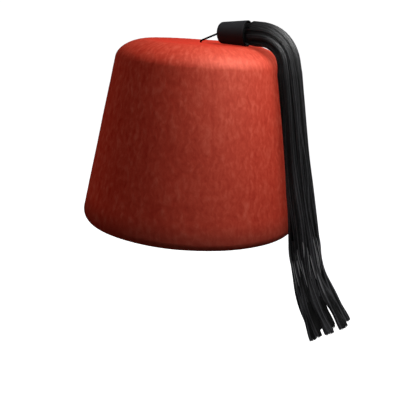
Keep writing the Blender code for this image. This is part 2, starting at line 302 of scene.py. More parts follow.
@dataclass(frozen=True)
class BlockedWoolFelt:
    """Wool felt shrunk on a block, steamed and brushed down: fine fibres lie over one another, so the
    red is softly mottled and drawn out down the side, with a broad, pinkish, satin light where it turns
    to the lamp."""

    shade: str = "C91F08"
    body: str = "DA3C26"
    tuft: str = "EA5C46"
    glow: str = "FFA48C"
    # Painted light: the flat tip's colour is raised in red and lowered in green and blue, standing in
    # for how the light falls on the top
    painted_tip_light: tuple[float, float, float] = (1.18, 0.55, 0.40)
    painted_tip_light_from: float = -14 * MM
    painted_tip_light_to: float = 8 * MM
    # Painted shade: the colour darkens towards the rim over this height, down to this share
    painted_hem_shade_height: float = 24 * MM
    painted_hem_shade_tone: float = 0.42
    worn_size: float = 24 * MM
    worn_range: tuple[float, float] = (0.3, 0.7)
    worn_tones: tuple[float, float] = (0.97, 1.02)
    roughness: float = 0.66
    refraction: float = 2.0
    specular: float = 1.0
    tuft_size: float = 1.5 * MM
    tuft_stretch: float = 0.55
    streak_size: float = 1.3 * MM
    streak_stretch: float = 0.12
    streak_share: float = 0.6
    # Real fibres are 0.02 mm thick: drawn at 0.45 mm, or they would vanish
    fibre_size: float = 0.45 * MM
    fibre_share: float = 0.35
    # The nap strays sideways in waves a few millimetres wide
    stray_size: float = 4 * MM
    stray: float = 5 * MM
    depth_range: tuple[float, float] = (0.62, 1.38)
    bump_depth: float = 0.12 * MM

    def layer(
        self, tree: bpy.types.NodeTree, place: bpy.types.Node | bpy.types.NodeSocket, size: float,
        stretch: float = 1.0,
    ) -> bpy.types.Node:
        """Adds noise of one real size, drawn out along the nap.

        Args:
            tree: the node tree.
            place: the nap's own coordinates.
            size: how wide its spots are, in metres.
            stretch: the share of its scale that is kept along the nap.

        Returns:
            The noise node.
        """
        drawn = add_node(tree, "ShaderNodeMapping", {"Vector": place, "Scale": (1.0, 1.0, stretch)})
        pattern = {"Vector": drawn, "Scale": 1 / (2 * size), "Detail": 1.0, "Roughness": 0.5}
        return add_node(tree, "ShaderNodeTexNoise", pattern)

    def material(self, tip_run: float, rim_run: float) -> bpy.types.Material:
        """Builds the felt from tufts and streaks that run down the surface, and finer fibre on them,
        with painted shade towards the rim and painted light on the flat tip.

        Args:
            tip_run: the nap coordinate at the edge of the flat tip.
            rim_run: the nap coordinate at the rim's edge.

        Returns:
            The finish.
        """
        made, tree, shader = new_material("wool_felt_blocked_and_brushed")
        attribute = add_node(
            tree, "ShaderNodeAttribute", {}, attribute_name="nap", attribute_type="GEOMETRY"
        )
        nap = attribute.outputs["Vector"]
        bend = self.layer(tree, nap, self.stray_size).outputs["Color"]
        shift = add_node(tree, "ShaderNodeVectorMath", {0: bend, 1: (0.5,) * 3}, operation="SUBTRACT")
        place = add_node(
            tree, "ShaderNodeVectorMath", {0: shift, 1: (self.stray,) * 3, 2: nap},
            operation="MULTIPLY_ADD",
        )
        depth = self.layer(tree, place, self.tuft_size, self.tuft_stretch)
        for size, stretch, share in (
            (self.streak_size, self.streak_stretch, self.streak_share),
            (self.fibre_size, self.tuft_stretch, self.fibre_share),
        ):
            added = {0: self.layer(tree, place, size, stretch), 1: share, 2: depth}
            depth = add_node(tree, "ShaderNodeMath", added, operation="MULTIPLY_ADD")
        low, high = self.depth_range
        spread = add_node(
            tree, "ShaderNodeMapRange", {"Value": depth, "From Min": low, "From Max": high}, clamp=True
        )
        colour = add_node(tree, "ShaderNodeValToRGB", {"Fac": spread})
        set_ramp(colour, {0.0: self.shade, 0.5: self.body, 1.0: self.tuft})
        worn = add_node(
            tree, "ShaderNodeMapRange",
            {"Value": self.layer(tree, nap, self.worn_size),
             "From Min": self.worn_range[0], "From Max": self.worn_range[1],
             "To Min": self.worn_tones[0], "To Max": self.worn_tones[1]},
        )
        down = add_node(tree, "ShaderNodeSeparateXYZ", {"Vector": nap}).outputs["Z"]
        # Painted shade: the colour darkens towards the rim
        hem_shade = add_node(
            tree, "ShaderNodeMapRange",
            {"Value": down, "From Min": rim_run - self.painted_hem_shade_height, "From Max": rim_run,
             "To Min": 1.0, "To Max": self.painted_hem_shade_tone},
            interpolation_type="SMOOTHSTEP",
        )
        # Random wear times the painted shade at the rim
        tone = add_node(tree, "ShaderNodeMath", {0: worn, 1: hem_shade}, operation="MULTIPLY")
        worn_and_shaded_colour = add_node(tree, "ShaderNodeVectorMath", {0: colour, "Scale": tone}, operation="SCALE")
        # Painted light on the flat tip, fading out just past its edge
        on_tip = add_node(
            tree, "ShaderNodeMapRange",
            {"Value": down, "From Min": tip_run + self.painted_tip_light_from,
             "From Max": tip_run + self.painted_tip_light_to, "To Min": 1.0, "To Max": 0.0},
            interpolation_type="SMOOTHSTEP",
        )
        tip_light_tint = add_node(
            tree, "ShaderNodeMix", {"Factor": on_tip, 6: (1, 1, 1, 1), 7: (*self.painted_tip_light, 1)},
            data_type="RGBA",
        )
        colour_and_tip_light = {0: worn_and_shaded_colour, 1: tip_light_tint.outputs[2]}
        bump = {"Height": depth, "Strength": 1.0, "Distance": self.bump_depth}
        feed(shader, {
            "Base Color": add_node(tree, "ShaderNodeVectorMath", colour_and_tip_light, operation="MULTIPLY"),
            "Normal": add_node(tree, "ShaderNodeBump", bump),
            "Roughness": self.roughness,
            "IOR": self.refraction,
            "Specular IOR Level": self.specular,
            "Specular Tint": linear(self.glow),
        })
        return made


@dataclass(frozen=True)
class ViscoseThread:
    """Bright viscose filament: smooth and silky, so a black one still shows a soft light streak along
    its length where it turns to the lamp."""

    name: str
    colour: str
    light_colour: str
    roughness: float
    refraction: float
    specular: float
    gloss_range: float = 0.1
    grain_size: float = 1.2 * MM
    tone_share: float = 0.8

    def material(self) -> bpy.types.Material:
        """Builds the thread, a little uneven in its black from strand to strand, and lighter or darker
        by its tone attribute, which on the tassel's threads holds painted highlight streaks and painted
        shade.

        Returns:
            The finish.
        """
        made, tree, shader = new_material(self.name)
        place = add_node(tree, "ShaderNodeTexCoord", {}).outputs["Object"]
        pattern = {"Vector": place, "Scale": 1 / (2 * self.grain_size), "Detail": 2.0, "Roughness": 0.6}
        uneven = add_node(tree, "ShaderNodeTexNoise", pattern)
        tone = add_node(
            tree, "ShaderNodeAttribute", {}, attribute_name="tone", attribute_type="GEOMETRY"
        )
        both = add_node(
            tree, "ShaderNodeMix", {"Factor": self.tone_share, 2: uneven, 3: tone.outputs["Fac"]}
        )
        colour = add_node(tree, "ShaderNodeValToRGB", {"Fac": both})
        set_ramp(colour, {0.2: self.colour, 0.8: self.light_colour})
        gloss = {
            "Value": both, "To Min": self.roughness + self.gloss_range,
            "To Max": self.roughness - self.gloss_range,
        }
        feed(shader, {
            "Base Color": colour,
            "Roughness": add_node(tree, "ShaderNodeMapRange", gloss),
            "IOR": self.refraction,
            "Specular IOR Level": self.specular,
        })
        return made


@dataclass(frozen=True)
class StudioPaper:
    """Seamless white paper, matt and so evenly lit that it has no shade of its own."""

    colour: str = "FFFFFF"
    lit: float = 1.02

    def material(self) -> bpy.types.Material:
        """Builds the paper with its own even light.

        Returns:
            The finish.
        """
        made, _, shader = new_material("studio_paper_white")
        feed(shader, {
            "Base Color": linear(self.colour),
            "Roughness": 1.0,
            "Specular IOR Level": 0.0,
            "Emission Color": linear(self.colour),
            "Emission Strength": self.lit,
        })
        return made


# Felt crown


@dataclass(frozen=True)
class Waist:
    """Where a skin draws in: how deep, how far past its landmark, and over what length."""

    depth: float
    past: float
    length: float

    def at(self, place: np.ndarray, landmark: float = 0.0) -> np.ndarray:
        """How deep it is at each place."""
        return self.depth * np.exp(-((place - landmark - self.past) / self.length) ** 2)


@dataclass
class Crown:
    """The blocked felt shell: a tapered side with a rounded rim, a rounded shoulder and a flat tip."""

    rim_radius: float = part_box("crown")[1].x
    height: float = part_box("crown")[1].z
    shoulder_radius: float = 71.3 * MM
    tip_radius: float = 48 * MM
    shoulder_drop: float = 18 * MM
    tip_edge_angle: float = math.radians(9.5)
    hem_radius: float = 8.3 * MM
    hem_angle: float = math.radians(31)
    thickness: float = 2.5 * MM
    hole_radius: float = 1 * MM
    sides: int = 300
    tip_rings: int = 26
    shoulder_rings: int = 26
    side_rings: int = 72
    hem_rings: int = 12
    lump_size: float = 38 * MM
    lump_height: float = 0.22 * MM
    lump_seed: float = 3.1
    nap_size: float = 3.2 * MM
    nap_height: float = 0.10 * MM
    nap_seed: float = 8.4
    smooth_middle: float = 6 * MM
    pucker: Waist = Waist(0.35 * MM, 0.0, 3.5 * MM)
    finish: BlockedWoolFelt = BlockedWoolFelt()

    def shoulder(self) -> tuple[float, float, float]:
        """The shoulder's ellipse.

        Returns:
            Its half width, its half height and the turn where it meets the tip.
        """
        width = self.shoulder_radius - self.tip_radius
        ratio = math.tan(self.tip_edge_angle) * width / self.shoulder_drop
        last_turn = math.acos(ratio / (1 - ratio))
        return width / (1 - math.cos(last_turn)), self.shoulder_drop / math.sin(last_turn), last_turn

    def shoulder_point(self, turn: float) -> tuple[np.ndarray, np.ndarray]:
        """A point of the shoulder's section.

        Args:
            turn: how far round its ellipse, 0 at the widest point.

        Returns:
            The point and the outward normal, as radius and height.
        """
        half_width, half_height, _ = self.shoulder()
        middle = np.array([self.shoulder_radius - half_width, self.height - self.shoulder_drop])
        point = middle + np.array([half_width * math.cos(turn), half_height * math.sin(turn)])
        normal = np.array([math.cos(turn) / half_width, math.sin(turn) / half_height])
        return point, normal / np.linalg.norm(normal)

    def hem_middle(self) -> np.ndarray:
        """The middle of the arc that rounds the rim."""
        return np.array([self.rim_radius - self.hem_radius, self.hem_radius * math.sin(self.hem_angle)])

    def slope(self) -> tuple[float, float]:
        """The straight side, found in a few steps from an upright one.

        Returns:
            Its lean from upright, and the turn of the shoulder's ellipse where it starts.
        """
        half_width, half_height, _ = self.shoulder()
        lean = 0.0
        turn = 0.0
        for _ in range(6):
            turn = math.atan(half_height / half_width * math.tan(lean))
            across = self.shoulder_point(turn)[0] - self.hem_middle()
            lean = math.asin(self.hem_radius / float(np.linalg.norm(across))) - math.atan2(*across)
        return lean, turn

    def radius_at(self, height: float) -> float:
        """The outside radius on the straight side, carried on above and below.

        Args:
            height: where.

        Returns:
            The radius.
        """
        lean, turn = self.slope()
        top, _ = self.shoulder_point(turn)
        return float(top[0] + (top[1] - height) * math.tan(lean))

    def outer_section(self) -> list[tuple[np.ndarray, np.ndarray]]:
        """The outside of the felt's section.

        Returns:
            Points and outward normals from the cord's hole, over the shoulder, to the rim.
        """
        lean, first_turn = self.slope()
        last_turn = self.shoulder()[2]
        up = np.array([0.0, 1.0])
        radii = np.linspace(self.hole_radius, self.tip_radius, self.tip_rings)[:-1]
        section = [(np.array([radius, self.height]), up) for radius in radii]
        shares = np.linspace(0, 1, self.shoulder_rings)
        section += [self.shoulder_point(mix(last_turn, first_turn, share)) for share in shares]
        start, normal = section[-1]
        middle = self.hem_middle()
        end = middle + self.hem_radius * np.array([math.cos(lean), math.sin(lean)])
        shares = np.linspace(0, 1, self.side_rings)[1:-1]
        section += [(mix(start, end, share), normal) for share in shares]
        for turn in np.linspace(lean, -self.hem_angle, self.hem_rings):
            normal = np.array([math.cos(turn), math.sin(turn)])
            section.append((middle + self.hem_radius * normal, normal))
        return section

    def whole_section(self) -> tuple[np.ndarray, np.ndarray, int]:
        """The felt's section, all the way round.

        Returns:
            The points, the outward normals, and how many belong to the outside.
        """
        outer = self.outer_section()
        inner = [(point - normal * self.thickness, -normal) for point, normal in outer]
        rim, (radius, height) = outer[-1][0], inner[-1][0]
        inside = np.array([radius - height * math.tan(self.hem_angle), 0.0])
        bottom = [(mix(rim, inside, share), np.array([0.0, -1.0])) for share in (0.33, 0.67)]
        section = [*outer, *bottom, (inside, np.array([-1.0, 0.0])), *inner[::-1]]
        points, normals = zip(*section)
        return np.array(points), np.array(normals), len(outer)

    def surface_noise(self, points: np.ndarray, size: float, seed: float) -> np.ndarray:
        """Smooth noise at each point.

        Args:
            points: where, in the row frame, ring by ring.
            size: the distance over which it changes.
            seed: shifts the pattern.

        Returns:
            One number for each point, about -1 to 1.
        """
        shift = Vector((seed, 2.7 * seed, 1.3 * seed))
        values = [noise.noise(Vector(point) / size + shift) for point in points.reshape(-1, 3)]
        return np.array(values).reshape(points.shape[:2])

    def build(self) -> bpy.types.Object:
        """Turns the section round, and gives the felt its slight unevenness and its nap.

        Returns:
            The felt.
        """
        flat, across, outside = self.whole_section()
        run = run_along(flat)
        rim_run = float(run[outside - 1])
        run = np.minimum(run, 2 * rim_run - run)
        turns = ring_turns(self.sides)
        points = revolved(flat, turns)
        rise = self.surface_noise(points, self.lump_size, self.lump_seed) * self.lump_height
        rise += self.surface_noise(points, self.nap_size, self.nap_seed) * self.nap_height
        radius = flat[:, :1]
        rise *= np.clip(radius / self.smooth_middle, 0, 1)
        rise[:outside] -= self.pucker.at(radius[:outside])
        points = points + revolved(across, turns) * rise[..., None]
        faces = grid_faces(len(flat), self.sides, loop=True)[:, ::-1].tolist()
        parts = MeshParts([points.reshape(-1, 3)], faces)
        made = parts.piece("crown_felt", self.finish.material(self.tip_radius, rim_run), Part.FELT)
        around = self.shoulder_radius * np.minimum(flat[:, 0] / self.tip_radius, 1.0)
        nap = revolved(np.stack([around, run], -1), turns)
        attribute = made.data.attributes.new("nap", "FLOAT_VECTOR", "POINT")
        attribute.data.foreach_set("vector", nap.astype(np.float32).ravel())
        # Nap scatters too much to be mirrored in the thread: without this the black tassel turns red
        made.visible_glossy = False
        return made


# Tassel


@dataclass
class TasselLine:
    """The tassel's middle line, in its own plane, and how thick and how twisted the skirt is on it."""

    crown: Crown
    heading: float = math.radians(-28)
    seat_gap: float = 0.3 * MM
    cap_start: float = 17.4 * MM
    cap_length: float = 25.8 * MM
    cap_closed_radius: float = 8.8 * MM
    cap_lip: float = 1.2 * MM
    neck_length: float = 5.7 * MM
    neck_pinch: float = 1.6 * MM
    neck_swell: float = 4 * MM
    skirt_radius: float = 10.4 * MM
    rim_skirt_radius: float = 13.5 * MM
    squeeze: float = 0.08
    bend_radii: tuple[float, float, float] = (60 * MM, 26 * MM, 150 * MM)
    flick_angle: float = math.radians(31)
    knee_drop: float = 30 * MM
    below_knee: float = 54 * MM
    fringe_length: float = 74 * MM
    first_lock_angle: float = math.radians(8)
    twist: float = math.radians(34)

    def __post_init__(self) -> None:
        """Works out the line once."""
        self.socket_radius = self.skirt_radius - self.neck_pinch + self.seat_gap
        self.mouth_radius = self.socket_radius + self.cap_lip
        self.tilt = math.asin((self.mouth_radius - self.cap_closed_radius) / self.cap_length)
        height = self.crown.height + self.seat_gap + self.cap_closed_radius * math.cos(self.tilt)
        self.cap_point = np.array([self.cap_start, height])
        self.cap_along = np.array([math.cos(self.tilt), math.sin(self.tilt)])
        self.lying_height = self.crown.height + self.seat_gap + self.skirt_radius
        self.shoulder_height = self.crown.height - self.crown.shoulder_drop
        self.line = self.rounded(self.corners(), self.bend_radii)
        self.lengths = run_along(self.line)
        self.total = float(self.lengths[-1])
        self.split = self.total - self.fringe_length

    def hanging_radius(self, height: np.ndarray) -> np.ndarray:
        """The skirt's outside radius: squeezed in the bend, wider and wider below.

        Args:
            height: the heights.

        Returns:
            The radius at each.
        """
        bent = (self.lying_height - height) / (self.lying_height - self.shoulder_height)
        squeezed = 1 - self.squeeze * np.maximum(4 * bent * (1 - bent), 0.0)
        hanging = np.maximum(self.shoulder_height - height, 0.0) / self.shoulder_height
        return squeezed * mix(self.skirt_radius, self.rim_skirt_radius, hanging ** 2)

    def beside_crown(self, height: float) -> np.ndarray:
        """Where the middle line passes a height, resting on the crown's side.

        Args:
            height: the height.

        Returns:
            The point, as distance from the axis and height.
        """
        lean, _ = self.crown.slope()
        reach = (float(self.hanging_radius(np.array(height))) + self.seat_gap) / math.cos(lean)
        return np.array([self.crown.radius_at(height) + reach, height])

    def corners(self) -> list[np.ndarray]:
        """The corners of the middle line.

        Returns:
            The points, from inside the cap to the tips, as distance from the axis and height.
        """
        neck = self.cap_point + self.cap_along * (self.cap_length - self.neck_length)
        reach = max(self.cap_length, (self.lying_height - self.cap_point[1]) / self.cap_along[1])
        mouth = self.cap_point + self.cap_along * reach
        upper = self.beside_crown(self.shoulder_height)
        lower = self.beside_crown(float(self.crown.hem_middle()[1]))
        down = (lower - upper) / np.linalg.norm(lower - upper)
        shoulder = upper + down * ((mouth[1] - upper[1]) / down[1])
        knee = lower + down * ((-self.knee_drop - lower[1]) / down[1])
        flick = np.array([math.sin(self.flick_angle), -math.cos(self.flick_angle)])
        return [neck, mouth, shoulder, knee, knee + self.below_knee * flick]

    def rounded(
        self, corners: list[np.ndarray], radii: tuple[float, ...], spacing: float = 1.0 * MM
    ) -> np.ndarray:
        """A line through corners that are rounded off.

        Args:
            corners: the corners, ends included.
            radii: the radius at each inner corner.
            spacing: how far apart the points may be.

        Returns:
            The points.
        """
        line = [corners[0]]
        for before, corner, after, radius in zip(corners, corners[1:], corners[2:], radii):
            arriving = (corner - before) / np.linalg.norm(corner - before)
            leaving = (after - corner) / np.linalg.norm(after - corner)
            turn = math.acos(float(np.clip(arriving @ leaving, -1, 1)))
            first = corner - arriving * radius * math.tan(turn / 2)
            inward = leaving - arriving * (arriving @ leaving)
            inward /= np.linalg.norm(inward)
            line += self.straight(line[-1], first, spacing)
            count = max(4, math.ceil(radius * turn / spacing))
            for angle in np.linspace(0, turn, count + 1)[1:]:
                way = arriving * math.sin(angle) + inward * (1 - math.cos(angle))
                line.append(first + radius * way)
        return np.array(line + self.straight(line[-1], corners[-1], spacing))

    def straight(self, start: np.ndarray, end: np.ndarray, spacing: float) -> list[np.ndarray]:
        """Points from a start, which is left out, to an end."""
        count = max(2, math.ceil(float(np.linalg.norm(end - start)) / spacing))
        return [mix(start, end, share) for share in np.linspace(0, 1, count + 1)[1:]]

    def point_at(self, length: np.ndarray) -> np.ndarray:
        """The points a length along the middle line, which stops at its ends, as x, y, z."""
        x, z = (np.interp(length, self.lengths, self.line[:, axis]) for axis in (0, 1))
        return np.stack([x, np.zeros_like(x), z], -1)

    def at(self, length: np.ndarray) -> tuple[np.ndarray, np.ndarray]:
        """Places on the middle line, which runs straight on past its end.

        Args:
            length: how far along each is.

        Returns:
            The points and the outward normals, both in the tassel's plane, as x, y, z.
        """
        ahead = self.point_at(length + 2 * MM) - self.point_at(length - 2 * MM)
        ahead /= np.linalg.norm(ahead, axis=-1, keepdims=True)
        over = np.maximum(length - self.total, 0.0)
        return self.point_at(length) + ahead * over[..., None], np.cross(ahead, SIDE)

    def twist_at(self, length: np.ndarray) -> np.ndarray:
        """How far round the first lock starts, a length along the line."""
        return self.first_lock_angle + self.twist * length / self.total

    def turn(self, points: np.ndarray) -> np.ndarray:
        """Turns points from the tassel's plane to the row frame.

        Args:
            points: the points.

        Returns:
            The points, turned.
        """
        cos, sin = math.cos(self.heading), math.sin(self.heading)
        x, y = points[..., 0], points[..., 1]
        return np.stack([x * cos - y * sin, x * sin + y * cos, points[..., 2]], -1)


@dataclass(frozen=True)
class Lock:
    """One outer lock of the fringe: its length, width and lean as shares of the usual ones."""

    length: float
    width: float
    lean: float


@dataclass(frozen=True)
class Clump:
    """Threads that cling together in one soft ridge, which wanders sideways, sinks and rises. Ridges
    are flat by the cap and full from the bend on."""

    middle: float
    half_width: float = 0.0
    sway: float = 0.0
    sway_wave: float = 1.0
    sway_phase: float = 0.0
    sink: float = 0.0
    sink_wave: float = 1.0
    sink_phase: float = 0.0
    ridge: float = 0.0
    cut_back: float = 0.0
    full_from: float = 25 * MM
    full_over: float = 90 * MM
    flat_share: float = 0.3

    def around(self, length: np.ndarray, share: float) -> np.ndarray:
        """Where a thread runs across the lobe, a share of the way from its ridge to its edge."""
        swing = np.sin(2 * math.pi * length / self.sway_wave + self.sway_phase)
        return self.middle + self.sway * swing + share * self.half_width

    def depth(self, length: np.ndarray, share: float) -> np.ndarray:
        """How far under the lock's skin a thread runs.

        Args:
            length: how far along the tassel each of its points is.
            share: where it lies in the clump, from 0 at its ridge to 1 or -1 at its edges.

        Returns:
            The depth at each point.
        """
        sunk = self.sink * (0.5 + 0.5 * np.sin(2 * math.pi * length / self.sink_wave + self.sink_phase))
        full = mix(self.flat_share, 1.0, smooth_step((length - self.full_from) / self.full_over))
        return sunk + self.ridge * share ** 2 * full


@dataclass
class Strand:
    """Where one thread runs in its lock: its clump and its place there, its depth, its ends and its own
    wandering, as a phase, a wave and an amount."""

    clump: Clump
    share: float
    depth: float
    start: float
    end: float
    radius: float
    sway: tuple[float, float, float]
    inside: bool
    tone: float


@dataclass(frozen=True)
class PaintedThreadTones:
    """Painted light on the threads: a few neighbours together are painted lighter as highlight streaks,
    and threads are painted darker as shade at a clump's edges, in the grooves, deep down, on the locks'
    inner sides and in the cut ends; all are lighter towards the tips."""

    base: float = 0.38
    painted_highlight: float = 0.8
    painted_edge_shade: float = 0.2
    scatter: float = 0.07
    painted_groove_shade: float = 0.25
    painted_depth_shade: float = 0.3
    near_cap: float = 0.5
    at_tips: float = 1.4
    painted_inner_shade: float = 0.4
    painted_cut_end_shade: float = 0.25

    def across(self, count: int, seed: float) -> np.ndarray:
        """The tones of a clump's threads.

        Args:
            count: how many threads.
            seed: where in the pattern the clump starts.

        Returns:
            A tone for each, 0 to 1.
        """
        rng = np.random.default_rng(int(seed * 1000))
        waves = np.sin(np.arange(count) * rng.uniform(0.7, 1.1) + seed)
        across = (2 * np.arange(count) + 1) / max(count, 1) - 1
        # Painted highlight streaks on a few neighbours, painted shade towards a clump's edges
        tones = self.base + self.painted_highlight * np.maximum(waves, 0) ** 3 - self.painted_edge_shade * across ** 2
        return np.clip(tones + rng.normal(0, self.scatter, count), 0, 1)

    def along(self, tone: float, share: np.ndarray, groove: np.ndarray, sunk: np.ndarray) -> np.ndarray:
        """The tone of one thread on its way.

        Args:
            tone: the thread's own.
            share: how far down the tassel each of its points is, 0 to 1.
            groove: how far into the groove beside its lobe, 0 to 1.
            sunk: how far down to the bundle's inside, 0 to 1.

        Returns:
            A tone for each point, 0 to 1.
        """
        lighter_to_tips = mix(self.near_cap, self.at_tips, share ** 2)
        # Painted shade in the grooves and deep down
        return np.clip(tone * lighter_to_tips - self.painted_groove_shade * groove - self.painted_depth_shade * sunk, 0, 1)


@dataclass
class TasselSkirt:
    """The thick bundle of thread, fluted from the cap to the rim, parted there into eight locks round a
    ninth."""

    line: TasselLine
    flute: float = 1.1 * MM
    lobe_power: float = 2.4
    lock_width: float = 10.0 * MM
    lock_depth: float = 7.4 * MM
    lock_gap: float = 0.6 * MM
    fringe_radius: float = 16.0 * MM
    parted_by: float = 0.15
    oval_by: float = 0.5
    oval_lobe_angle: float = math.radians(115)
    core_share: float = 0.5
    core_length: float = 0.95
    core_corners: tuple[float, ...] = (0.0, 0.38, 0.62, 1.0)
    thread_radius: float = 0.27 * MM
    cut_radius_share: float = 0.6
    threads_per_lobe: int = 34
    threads_inside: int = 26
    clumps_per_lobe: int = 2
    inside_depth: float = 1.3 * MM
    mouth_narrowing: float = 1.0 * MM
    mouth_gap: float = 0.5 * MM
    mouth_swell: float = 3.5 * MM
    parting_waist: Waist = Waist(0.7 * MM, 20 * MM, 12 * MM)
    tip_waist: Waist = Waist(0.9 * MM, -15 * MM, 8 * MM)
    spacing: float = 3.2 * MM
    thread_sides: int = 4
    side_turn: float = 9.0
    sharp_angle: float = 75.0
    # Where threads start: inside the cap, and above the parting on the locks' inner sides
    outer_start: float = 0.4 * MM
    inner_start: float = -10 * MM
    # The dark inside: its rings, its lines on a fused lobe and on the ninth lock, the first, last and
    # number of those on a lock's lobe and on its inner side, and how far it runs over and stops short
    bundle_rings: int = 140
    bundle_lines: int = 6
    underlay_rings: int = 34
    core_lines: int = 12
    lobe_lines: tuple[float, float, int] = (0.04, 0.96, 9)
    inner_lines: tuple[float, float, int] = (0.08, 0.92, 6)
    bundle_overlap: float = 2 * MM
    underlay_overlap: float = 12 * MM
    underlay_short: float = 2.5 * MM
    seed: int = 41
    loose_seed: int = 7
    locks: tuple[Lock, ...] = (
        Lock(0.95, 1.00, 0.98), Lock(0.98, 0.94, 1.03), Lock(0.96, 1.04, 0.97), Lock(1.00, 1.08, 1.06),
        Lock(0.95, 0.98, 0.98), Lock(0.94, 0.95, 1.03), Lock(0.95, 1.00, 1.07), Lock(0.93, 0.98, 1.00),
    )
    # Rows of short threads that fill a cut end: depth, number and reach up from the end
    cut_rows: tuple[tuple[float, int, float], ...] = (
        (0.8 * MM, 44, 30 * MM), (1.5 * MM, 20, 8 * MM), (2.2 * MM, 14, 8 * MM), (2.9 * MM, 8, 8 * MM),
    )
    loose_edges: tuple[float, ...] = (0.06, 0.3, 0.62, 0.93)
    loose_points: int = 14
    loose_sides: int = 5
    loose_bow: float = 0.9 * MM
    loose_thin: float = 0.3
    loose_swell: float = 0.9
    tones: PaintedThreadTones = PaintedThreadTones()
    # Black floss: satin; its grey threads are painted highlight streaks and its blackest ones painted
    # shade, set by each thread's tone
    finish: ViscoseThread = ViscoseThread("viscose_floss_painted_streaks_and_shade", "0A0A0B", "6C6C70", 0.44, 1.5, 0.75)
    # The same floss deep in the bundle, where hardly any light comes: flat black
    deep_finish: ViscoseThread = ViscoseThread("viscose_floss_deep", "060606", "0A0A0A", 0.8, 1.4, 0.2)
    # Floss pulled loose and stretched where the locks part: smoother, and painted light grey as a
    # painted highlight
    painted_highlight_finish: ViscoseThread = ViscoseThread(
        "viscose_floss_loose_painted_highlight", "9C9C9E", "C6C6C8", 0.40, 1.8, 1.0
    )

    def __post_init__(self) -> None:
        """Sets up what depends on the number of locks."""
        self.half_sector = math.pi / len(self.locks)
        self.split_radius = float(self.line.hanging_radius(self.line.point_at(self.line.split)[2]))

    def bundle_radius(self, length: np.ndarray) -> tuple[np.ndarray, np.ndarray]:
        """The fused skirt's section.

        Args:
            length: how far along the middle line.

        Returns:
            Its radius and the depth of its flutes, at each length.
        """
        height = self.line.at(length)[0][:, 2]
        swelled = smooth_step((length - self.line.neck_length) / self.line.neck_swell)
        neck = self.line.skirt_radius - self.line.neck_pinch
        return mix(neck, self.line.hanging_radius(height), swelled), self.flute * swelled

    def groove(self, around: np.ndarray) -> np.ndarray:
        """How far down each place across a lobe is, from 0 on its ridge to 1 at its edges."""
        return np.abs(2 * np.clip(around, 0, 1) - 1) ** self.lobe_power

    def lobe(
        self, around: np.ndarray, radius: float | np.ndarray, flute: float | np.ndarray
    ) -> tuple[np.ndarray, np.ndarray]:
        """Points across one lobe's skin.

        Args:
            around: how far across the lobe.
            radius: how far out its ridge is.
            flute: how deep the grooves beside it are.

        Returns:
            How far out from the bundle's middle, and how far across.
        """
        angle = self.half_sector * (2 * np.clip(around, 0, 1) - 1)
        reach = radius - flute * self.groove(around)
        return reach * np.cos(angle), reach * np.sin(angle)

    def inner_side(self, around: np.ndarray) -> tuple[np.ndarray, np.ndarray]:
        """Points round the inner side of a lock, where the bundle parts.

        Args:
            around: how far round the inner side.

        Returns:
            How far out from the bundle's middle, and how far across.
        """
        edge = self.split_radius - self.flute
        out, across = edge * math.cos(self.half_sector), edge * math.sin(self.half_sector)
        core_out, core_across = out * self.core_share, across * self.core_share
        return (
            np.interp(around, self.core_corners, [out, core_out, core_out, out]),
            np.interp(around, self.core_corners, [across, core_across, -core_across, -across]),
        )

    def fused(
        self, around: np.ndarray, depth: np.ndarray, length: np.ndarray, inside: bool
    ) -> tuple[np.ndarray, np.ndarray]:
        """Points of a thread in the fused bundle.

        Args:
            around: how far across the lobe, or round the inner side, at each point.
            depth: how far under the surface.
            length: how far along the middle line.
            inside: whether the thread is on the lock's inner side.

        Returns:
            How far out from the bundle's middle, and how far across.
        """
        radius, flute = self.bundle_radius(np.minimum(length, self.line.split))
        if inside:
            out, across = self.inner_side(around)
            scale = radius / self.split_radius
            out, across = out * scale, across * scale
        else:
            out, across = self.lobe(around, radius, flute)
            across = across + (around - np.clip(around, 0, 1)) * 2 * self.half_sector * radius
        shrink = 1 - depth / np.maximum(np.hypot(out, across), 1e-6)
        return out * shrink, across * shrink

    def parted(
        self, row: Lock, around: np.ndarray, depth: np.ndarray, below: np.ndarray, inside: bool
    ) -> tuple[np.ndarray, np.ndarray]:
        """Points of a thread in a lock of the fringe, which turns from a wedge to an oval going down.

        Args:
            row: the lock.
            around: how far across the lobe, or round the inner side, at each point.
            depth: how far under the surface.
            below: how far down the fringe, 0 to 1.
            inside: whether the thread is on the lock's inner side.

        Returns:
            How far out from the bundle's middle, and how far across.
        """
        if inside:
            out, across = self.inner_side(around)
            angle = mix(self.oval_lobe_angle, 2 * math.pi - self.oval_lobe_angle, around)
        else:
            out, across = self.lobe(around, self.split_radius, self.flute)
            angle = mix(-self.oval_lobe_angle, self.oval_lobe_angle, around)
        first_reach = self.split_radius * (1 + self.core_share) / 2
        gone = mix(below, smooth_step(below), 0.5)
        reach = first_reach + (self.fringe_radius * row.lean - first_reach) * gone
        room = 2 * reach * math.tan(self.half_sector) - self.lock_gap
        width = np.minimum(self.lock_width * row.width, room)
        kept = 1 - self.lock_gap / self.lock_depth * smooth_step(below / self.parted_by)
        rounded = smooth_step(below / self.oval_by)
        out = mix((out - first_reach) * kept, self.lock_depth / 2 * np.cos(angle), rounded)
        across = mix(across * kept, width / 2 * np.sin(angle), rounded)
        shrink = np.maximum(1 - depth / np.maximum(np.hypot(out, across), 1e-6), 0.0)
        return reach + out * shrink, across * shrink

